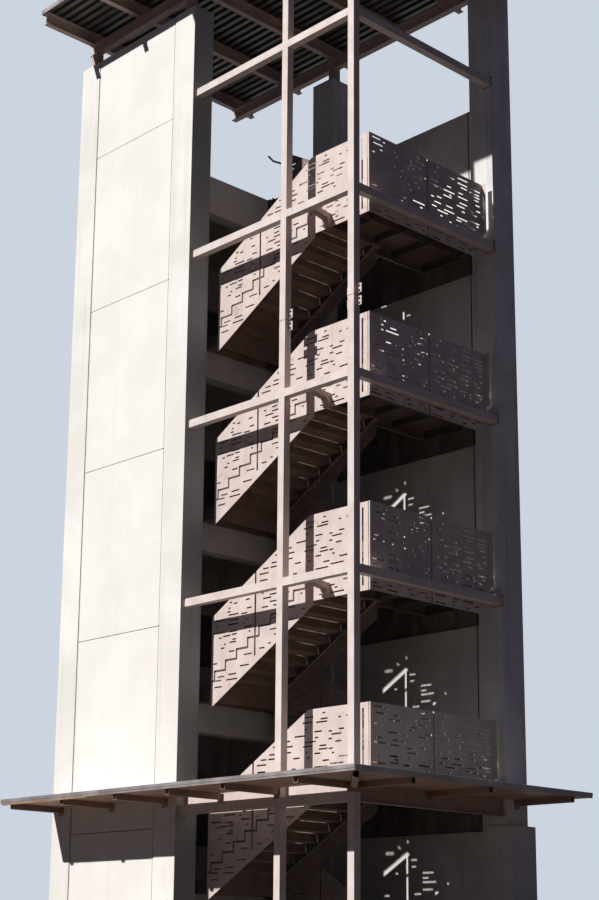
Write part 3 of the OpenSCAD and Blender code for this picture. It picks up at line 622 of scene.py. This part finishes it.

# Flights and landings of folded and rolled steel, shop primed. Their darker coat is painted shade
# under the flights. Site dust lies on what faces up, and the edges of the pans are rubbed bright.

dust, dust_in, dust_out = new_group(
    "Site dust", {"Vector": "Vector", "Color": "Color", "Amount": "Float"}, {"Color": "Color"}
)
upward = new_node(dust, "SeparateXYZ", {0: new_node(dust, "NewGeometry").outputs["Normal"]}).outputs["Z"]
lying = math_node(dust, "MULTIPLY", ramp(dust, upward, 0.4, 0.95), dust_in["Amount"])
drifts = noise(dust, dust_in["Vector"], 4.0, 6.0, 0.65)
lying = math_node(dust, "MULTIPLY", lying, ramp(dust, drifts, 0.30, 0.62))
dust_tone = (0.42, 0.385, 0.34, 1)
dust.links.new(mix_colour(dust, lying, dust_in["Color"], dust_tone), dust_out["Color"])


def add_dust(material, amount):
    """Lays site dust over a finished material."""
    tree = material.node_tree
    bsdf = tree.nodes["Principled BSDF"]
    layer = tree.nodes.new("ShaderNodeGroup")
    layer.node_tree = dust
    layer.inputs["Amount"].default_value = amount
    tree.links.new(bsdf.inputs["Base Color"].links[0].from_socket, layer.inputs["Color"])
    tree.links.new(tree.nodes["Texture Coordinate"].outputs["Object"], layer.inputs["Vector"])
    tree.links.new(layer.outputs["Color"], bsdf.inputs["Base Color"])
    return material


web_shade = (0.07, 0.06, 0.06, 1)


def stair_coat(name, paint, faded):
    """A dusty dark primer. The webs behind the guards, which face the front, are near black as painted
    shade.
    """
    coat = primed(name, paint, faded, 0.55, 0.9)
    return add_dust(cover(coat, "Y", -1, web_shade), 0.75)


# The stair's and landing's dark primers are the posts' coat darkened as painted shade under the flights
stair_primer = stair_coat("Stair primer", (0.25, 0.165, 0.13, 1), (0.33, 0.235, 0.19, 1))
dress(stair_primer, *numbered("front_flight", 4), *numbered("back_flight", 5), "threshold_plates")
landing_primer = stair_coat("Landing primer", (0.16, 0.108, 0.088, 1), (0.22, 0.158, 0.132, 1))
dress(landing_primer, *numbered("landing", 4))
add_dust(floor_concrete, 0.5)

# Guards of laser-cut steel plate, folded at their edges and held off the posts by spacers.
# Their primer is paler than the stair's, with handling marks and a few rusty runs. The cutter
# ran over the plates twice, so short slots lie between the first ones, and all are 28 mm high.

guard_primer = primed("Guard primer", (0.575, 0.48, 0.45, 1), (0.645, 0.555, 0.52, 1), 0.42, 0.5)
slot_first = 0.022
slot_final = 0.028
guard_t = 0.006


def first_slots(plates, along):
    """The slots that a guard has: where each starts and ends along the plate, and its foot."""
    feet, tops = {}, {}
    for face in plates.polygons:
        if abs(face.normal.z) > 0.99:
            run = [plates.vertices[v].co[along] for v in face.vertices]
            wall = feet if face.normal.z > 0 else tops
            wall.setdefault((round(min(run), 3), round(max(run), 3)), []).append(face.center.z)
    return {
        (*ends, round(foot, 3)) for ends, found in feet.items() for foot in found
        if any(abs(foot + slot_first - top) < 0.0005 for top in tops.get(ends, ()))
    }


def on_plate(along, outside, reach, z):
    """A point on a guard's face, which is at outside: along X for axis 0, or along Y for axis 1."""
    return Vector((reach, outside, z)) if along == 0 else Vector((outside, reach, z))


probe_back = 0.05
probe_levels = (-0.024, -0.008, 0.008, 0.022, 0.036, 0.050)
slot_clear = 0.03


def is_whole(tree, along, outside, start, length, z):
    """True where a plate has no slot, cut or edge within 30 mm of a stretch."""
    inward = Vector((0, 1, 0)) if along == 0 else Vector((-1, 0, 0))
    steps = 2 + int(length / slot_clear)
    for k in range(steps + 1):
        reach = start - slot_clear + (length + 2 * slot_clear) * k / steps
        for level in probe_levels:
            spot = on_plate(along, outside, reach, z + level)
            distance = tree.ray_cast(spot - inward * probe_back, inward)[3]
            if distance is None or abs(distance - probe_back) > 0.001:
                return False
    return True


slot_min = 0.045
slot_more = 0.25
slot_apart = 0.04
row_apart = 0.052
slot_tries = 6000


def more_slots(plates, along, outside, count, seed):
    """Places for slots of the second run, where the plate is still whole."""
    draw = random.Random(seed)
    tree = BVHTree.FromPolygons([v.co for v in plates.vertices], [f.vertices for f in plates.polygons])
    reaches = [v.co[along] for v in plates.vertices]
    levels = [v.co.z for v in plates.vertices]
    low, high, foot, top = min(reaches), max(reaches), min(levels), max(levels)
    found = []
    for _ in range(slot_tries):
        length = slot_min + slot_more * draw.random() ** 1.5
        start = low + draw.random() * (high - low - length)
        z = foot + draw.random() * (top - foot)
        crowded = any(
            start < b + slot_apart and a < start + length + slot_apart and abs(z - c) < row_apart
            for a, b, c in found
        )
        if not crowded and is_whole(tree, along, outside, start, length, z):
            found.append((start, start + length, z))
            if len(found) == count:
                break
    return found


def punched(node, along, outside, seconds):
    """A guard's plates with every slot cut to its final height, in place of the guard's solids."""
    plates = bpy.data.objects.new(node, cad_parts[node].data.copy())
    bpy.context.collection.objects.link(plates)
    edit(plates, "VERT")
    bpy.ops.mesh.select_all(action="SELECT")
    bpy.ops.mesh.remove_doubles(threshold=0.00005)
    bpy.ops.object.mode_set(mode="OBJECT")
    bpy.ops.mesh.primitive_cube_add(size=1)
    end_cut = 0.002
    places = []
    for a, b, z in [*first_slots(plates.data, along), *seconds]:
        middle = on_plate(along, outside, (a + b) / 2, z + slot_first / 2)
        size = Vector((4 * guard_t, 4 * guard_t, slot_final))
        size[along] = b - a + 2 * end_cut
        places.append(Matrix.Translation(middle) @ Matrix.Diagonal((*size, 1)))
    punches = spread(bpy.context.object, places)
    choose(plates)
    cut = plates.modifiers.new("Slots", "BOOLEAN")
    cut.operation = "DIFFERENCE"
    cut.solver = "EXACT"
    cut.object = punches
    bpy.ops.object.modifier_apply(modifier="Slots")
    bpy.data.objects.remove(punches)
    close(plates, node.replace("guard", "guard_plates"), guard_primer)
    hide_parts(node)


front_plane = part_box("front_guard_1")[0].y
side_spacer = 0.018
side_plane = -post_half - side_spacer
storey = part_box("landing_2")[1].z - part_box("landing_1")[1].z
for side, along, outside, count, seed in (("front", 0, front_plane, 52, 5), ("side", 1, side_plane, 34, 9)):
    seconds = more_slots(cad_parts[f"{side}_guard_1"].data, along, outside, count, seed)
    for i, guard in enumerate(numbered(f"{side}_guard", 4)):
        punched(guard, along, outside, [(a, b, z + i * storey) for a, b, z in seconds])
# The well guards' dark primer is painted shade, as they stand in the shade inside the stair
well_primer = primed("Well guard primer", (0.17, 0.13, 0.115, 1), (0.23, 0.18, 0.16, 1), 0.45, 0.5)
dress(well_primer, "front_well_guards", "back_well_guards")

# Handrails of round pipe on short brackets, bent up at their top ends. Their primer is
# paler than the stair's, and is rubbed by hands.

rail_primer = primed("Rail primer", (0.42, 0.32, 0.285, 1), (0.52, 0.41, 0.375, 1), 0.35, 0.6)
dress(rail_primer, "inner_rails")

# Roof of rolled beams and purlins under a ribbed sheet, on short posts with cap and foot
# plates. A thin folded trim covers the sheet's cut edges, pale where the sun strikes it.

roof_primer = primed("Roof primer", (0.45, 0.33, 0.29, 1), (0.56, 0.43, 0.39, 1), 0.45, 0.5)
dress(roof_primer, "roof_beams", "roof_purlins", "roof_stubs")

sheet_coat = mottled(
    "Ribbed sheet coat", (0.065, 0.06, 0.053, 1), (0.09, 0.084, 0.075, 1), (1.1, 6.0, 0.6), (0.36, 0.66),
    {"Metallic": 0.15}, dulling=(0.25, 0.38), relief=(30.0, 3.0, 0.12, 0.002),
)
dress(sheet_coat, "roof_deck")
trim_zinc = mottled(
    "Edge trim zinc", (0.25, 0.222, 0.222, 1), (0.36, 0.325, 0.325, 1), (2.6, 7.0, 0.66), (0.35, 0.68),
    {"Metallic": 0.35}, dulling=(0.3, 0.3), relief=(14.0, 3.0, 0.1, 0.002),
)


def plate_up(piece, thickness, offset=-1):
    """Gives a sheet of faces its thickness: inwards, or outwards with offset 1."""
    wall = piece.modifiers.new("Plate", "SOLIDIFY")
    wall.thickness = thickness
    wall.offset = offset
    bpy.ops.object.modifier_apply(modifier="Plate")
    return piece


def edge_strip(low, high, lip, thickness):
    """A folded strip round the four sides of a box, with a lip over its top."""
    strip = block((low + high) / 2, high - low)
    edit(strip)
    pick(strip, lambda f: f.normal.z > 0.9)
    bpy.ops.mesh.inset(thickness=lip)
    bpy.ops.mesh.delete(type="FACE")
    pick(strip, lambda f: f.normal.z < -0.9)
    bpy.ops.mesh.delete(type="FACE")
    bpy.ops.object.mode_set(mode="OBJECT")
    return plate_up(strip, thickness, offset=1)


deck_low, deck_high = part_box("roof_deck")
trim_gap = 0.003
trim_drop = 0.012
trim_rise = 0.002
roof_trim = edge_strip(
    deck_low - Vector((trim_gap, trim_gap, trim_drop)), deck_high + Vector((trim_gap, trim_gap, trim_rise)),
    lip=0.04, thickness=0.002,
)
close(roof_trim, "roof_edge_trim", trim_zinc)

stub_low, stub_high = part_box("roof_stubs")
stub_half = 0.09
foot_scale = 1.25
foot_bolt_reach = 0.118
foot_places = [
    Matrix.Translation(foot) for foot in (
        (stub_low.x + stub_half, 0, pylon_top),
        (stub_high.x - stub_half, 0, pylon_top),
        (stub_high.x - stub_half, stub_high.y - stub_half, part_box("rear_middle_column")[1].z),
    )
]
copies(
    end_plate(), [place @ Matrix.Scale(foot_scale, 4) for place in foot_places], "stub_foot_plates",
    roof_primer,
)
foot_bolts = [
    bolt for place in foot_places for bolt in corners(place, foot_bolt_reach, foot_scale * plate_t)
]
copies(hex_bolt(0.030, thread=0.024), foot_bolts, "stub_foot_bolts", bolt_zinc)

# Canopy round two sides at door height: a thin plate in zinc-coated sheet on hollow steel
# outriggers, which are bolted on through their end plates. A folded fascia runs round its edge,
# over a strip of timber at the left, and a bare plate stands behind the lowest tube.

# The outriggers' and beams' dark primer is painted shade under the canopy
canopy_primer = primed("Canopy primer", (0.25, 0.155, 0.12, 1), (0.32, 0.21, 0.165, 1), 0.5, 0.6)
dress(canopy_primer, "canopy_outriggers", "canopy_beams")
canopy_soffit = primed("Canopy soffit", (0.36, 0.20, 0.13, 1), (0.46, 0.28, 0.19, 1), 0.4, 0.3)
add_dust(cover(canopy_soffit, "Z", 1, (0.33, 0.335, 0.345, 1)), 0.45)
dress(canopy_soffit, "canopy_plate")

canopy_low, canopy_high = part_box("canopy_plate")
tube_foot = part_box("frame_beams_1")[0].z
upstand_t = 0.006
upstand_back = 0.005
upstand_drop = 0.007
upstand_gap = 0.002
upstand_fold = (0, -0.004, 0.012)
upstand = block(
    (
        (column_face - post_half) / 2,
        post_half + upstand_back,
        (tube_foot + canopy_high.z) / 2 - upstand_drop,
    ),
    (-post_half - column_face - 2 * upstand_gap, upstand_t, canopy_high.z - tube_foot),
)
edit(upstand)
pick(upstand, lambda f: f.normal.z > 0.9)
bpy.ops.mesh.extrude_region_move(TRANSFORM_OT_translate={"value": upstand_fold})
close(upstand, "canopy_upstand", guard_primer)

arm_plate_t = 0.0125
arm_bolt_reach = 0.0625
arm_bolt_drops = (0.03, 0.145)
arm_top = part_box("canopy_outriggers")[1].z
left_low, left_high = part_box("pylon_left_column")
left_x = (left_low.x + left_high.x) / 2
right_x = column_face - (left_high.x - left_low.x) / 2
front_arms = (
    (left_x, left_low.y),
    ((left_x + right_x) / 2, panels_low.y),
    (right_x, left_low.y),
    ((right_x + post_xs[1]) / 2, -post_half),
    (post_xs[1], -post_half),
    (0, -post_half),
)
side_arms = (0, right_low.y / 2, (right_low.y + right_high.y) / 2)
arm_bolts = [
    facing_to((x + a, y - arm_plate_t, arm_top - drop), (0, -1, 0))
    for x, y in front_arms for a in (-arm_bolt_reach, arm_bolt_reach) for drop in arm_bolt_drops
]
arm_bolts += [
    facing_to((post_half + arm_plate_t, y + a, arm_top - drop), (1, 0, 0))
    for y in side_arms for a in (-arm_bolt_reach, arm_bolt_reach) for drop in arm_bolt_drops
]
copies(hex_bolt(0.016), arm_bolts, "outrigger_bolts", bolt_zinc)

fascia_runs = (
    ((canopy_low.x, canopy_low.y), (canopy_high.x, canopy_low.y)),
    ((canopy_high.x, canopy_low.y), (canopy_high.x, canopy_high.y)),
)
# How far the folds stand out from the canopy's edge, and how high above its foot
fascia_folds = (
    (0.0, -0.004), (0.006, -0.010), (0.006, 0.026), (0.014, 0.030), (0.014, 0.084), (0.0, 0.090),
)
fascia_t = 0.0015
fascias = []
for start, end in fascia_runs:
    run = Vector(end) - Vector(start)
    out = Vector((run.y, -run.x)).normalized()
    bpy.ops.mesh.primitive_plane_add(size=1)
    strip = bpy.context.object
    edit(strip)
    bpy.ops.mesh.select_all(action="SELECT")
    bpy.ops.mesh.delete(type="VERT")
    bpy.ops.object.mode_set(mode="OBJECT")
    points = [(start[0] + out.x * o, start[1] + out.y * o, canopy_low.z + h) for o, h in fascia_folds]
    strip.data.from_pydata(points, [(i, i + 1) for i in range(len(points) - 1)], [])
    edit(strip, "EDGE")
    bpy.ops.mesh.select_all(action="SELECT")
    bpy.ops.mesh.extrude_edges_move(TRANSFORM_OT_translate={"value": (run.x, run.y, 0)})
    bpy.ops.mesh.select_all(action="SELECT")
    bpy.ops.mesh.normals_make_consistent(inside=False)
    bpy.ops.object.mode_set(mode="OBJECT")
    fascias.append(plate_up(strip, fascia_t))
close(join(fascias), "canopy_fascia", trim_zinc)

timber = mottled(
    "Packing timber", (0.42, 0.20, 0.085, 1), (0.62, 0.36, 0.17, 1), (1.0, 4.0, 0.6), (0.35, 0.65),
    {"Roughness": 0.75}, stretch=(1.2, 40.0, 40.0),
)
batten_run = 2.75
batten_w = 0.048
batten_t = 0.026
batten_in = 0.04
batten_drop = 0.001
batten = block(
    (
        canopy_low.x + (batten_run + batten_in) / 2,
        canopy_low.y + batten_w / 2,
        canopy_low.z - batten_drop - batten_t / 2,
    ),
    (batten_run - batten_in, batten_w, batten_t),
)
edit(batten, "EDGE")
bpy.ops.mesh.select_all(action="SELECT")
bpy.ops.mesh.bevel(offset=0.003, segments=2)
close(batten, "canopy_batten", timber)

# Plain pale floor and soft studio light. The lamp stands where the sun did, so that the
# front faces are bright, the faces to the right are in shade, and the guards cast their slots.

bpy.ops.mesh.primitive_circle_add(vertices=96, radius=90, fill_type="NGON", location=(-3, 2, 0))
floor = bpy.context.object
floor.name = "floor"
floor_pale, floor_tree, floor_bsdf = surface("Floor pale", {"Roughness": 0.9, "Specular IOR Level": 0.1})
floor_rays = new_node(floor_tree, "LightPath").outputs
seen = math_node(floor_tree, "MAXIMUM", floor_rays["Is Camera Ray"], floor_rays["Is Glossy Ray"])
floor_back = (0.062, 0.047, 0.042, 1)
floor_seen = (0.60, 0.61, 0.63, 1)
floor_tree.links.new(mix_colour(floor_tree, seen, floor_back, floor_seen), floor_bsdf.inputs["Base Color"])
floor.data.materials.append(floor_pale)

world = bpy.data.worlds.new("Studio")
bpy.context.scene.world = world
world.use_nodes = True
sky = world.node_tree
sky_rays = new_node(sky, "LightPath").outputs
shown = math_node(sky, "MAXIMUM", sky_rays["Is Camera Ray"], sky_rays["Is Transmission Ray"])
sky_light = (0.034, 0.041, 0.070, 1)
sky_seen = (0.60, 0.66, 0.74, 1)
sky.links.new(mix_colour(sky, shown, sky_light, sky_seen), sky.nodes["Background"].inputs["Color"])
sky.nodes["Background"].inputs["Strength"].default_value = 1.0

bpy.ops.object.light_add(type="SUN")
lamp = bpy.context.object
lamp.name = "key_lamp"
lamp.data.energy = 5.1
lamp.data.angle = math.radians(0.7)
lamp.data.color = (1.0, 0.975, 0.94)
sun_ray = Vector((0.33, 1.0, -0.85))
lamp.rotation_euler = sun_ray.to_track_quat("-Z", "Y").to_euler()

# Camera at the photograph's angle: low, to the right of the corner, turned to the left and
# tilted up.

bpy.ops.object.camera_add()
camera = bpy.context.object
camera.name = "photo_camera"
camera_stand = (19.863, -20.564, 0.328)
camera_heading = math.radians(47.257)
camera_pitch = math.radians(103.992)
camera_roll = math.radians(0.765)
camera.matrix_world = (
    Matrix.Translation(camera_stand)
    @ Matrix.Rotation(camera_heading, 4, "Z")
    @ Matrix.Rotation(camera_pitch, 4, "X")
    @ Matrix.Rotation(camera_roll, 4, "Z")
)
camera.data.sensor_width = 36
camera.data.lens = 68.24
camera.data.shift_x = 0.0441
camera.data.shift_y = 0.0957
camera.data.clip_end = 400
bpy.context.scene.camera = camera
bpy.context.scene.view_settings.view_transform = "Standard"
